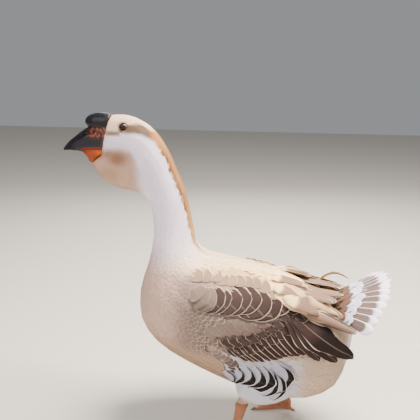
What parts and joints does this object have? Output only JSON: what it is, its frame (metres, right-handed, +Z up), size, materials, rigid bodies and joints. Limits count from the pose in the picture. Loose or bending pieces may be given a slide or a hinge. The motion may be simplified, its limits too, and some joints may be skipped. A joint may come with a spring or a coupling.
{
  "type": "domestic goose",
  "caption": "Life-size still model of a knobbed, dewlapped domestic goose standing with its neck upright, its wings folded and its tail spread, resting on its webbed feet.",
  "frame": {"origin": "on the floor, under the middle of the bird's overall box", "axes": "+Z up, +X towards the bird's own left side, -Y the way it faces"},
  "size_m": [0.2922, 0.7317, 0.7286],
  "materials": {
    "plumage_pale": "soft small feathers, cream to fawn, with a brown stripe down the back of the neck",
    "plumage_white": "soft white feathers barred with dark brown on the flank",
    "plumage_brown": "grey-brown feathers with narrow whitish edges",
    "horn_dark": "smooth near-black horn with a faint sheen",
    "horn_orange": "orange horn, darker towards the tip",
    "leg_skin": "scaly orange skin, thin and soft between the toes",
    "eye_brown": "wet dark brown eye"
  },
  "bodies": {
    "root": {"trunk": "plumage_pale", "neck_lower": "plumage_pale", "neck_upper": "plumage_pale", "head": "plumage_pale", "dewlap": "plumage_pale", "thigh_left": "plumage_white", "thigh_right": "plumage_white", "wing_left": "plumage_brown", "wing_right": "plumage_brown", "flight_left": "plumage_brown", "flight_right": "plumage_brown", "tertials_left": "plumage_brown", "tertials_right": "plumage_brown", "tail": "plumage_brown", "bill_upper": "horn_dark", "knob": "horn_dark", "bill_lower": "horn_orange", "shank_left": "leg_skin", "shank_right": "leg_skin", "foot_left": "leg_skin", "foot_right": "leg_skin", "eye_left": "eye_brown", "eye_right": "eye_brown"}
  },
  "joints": []
}
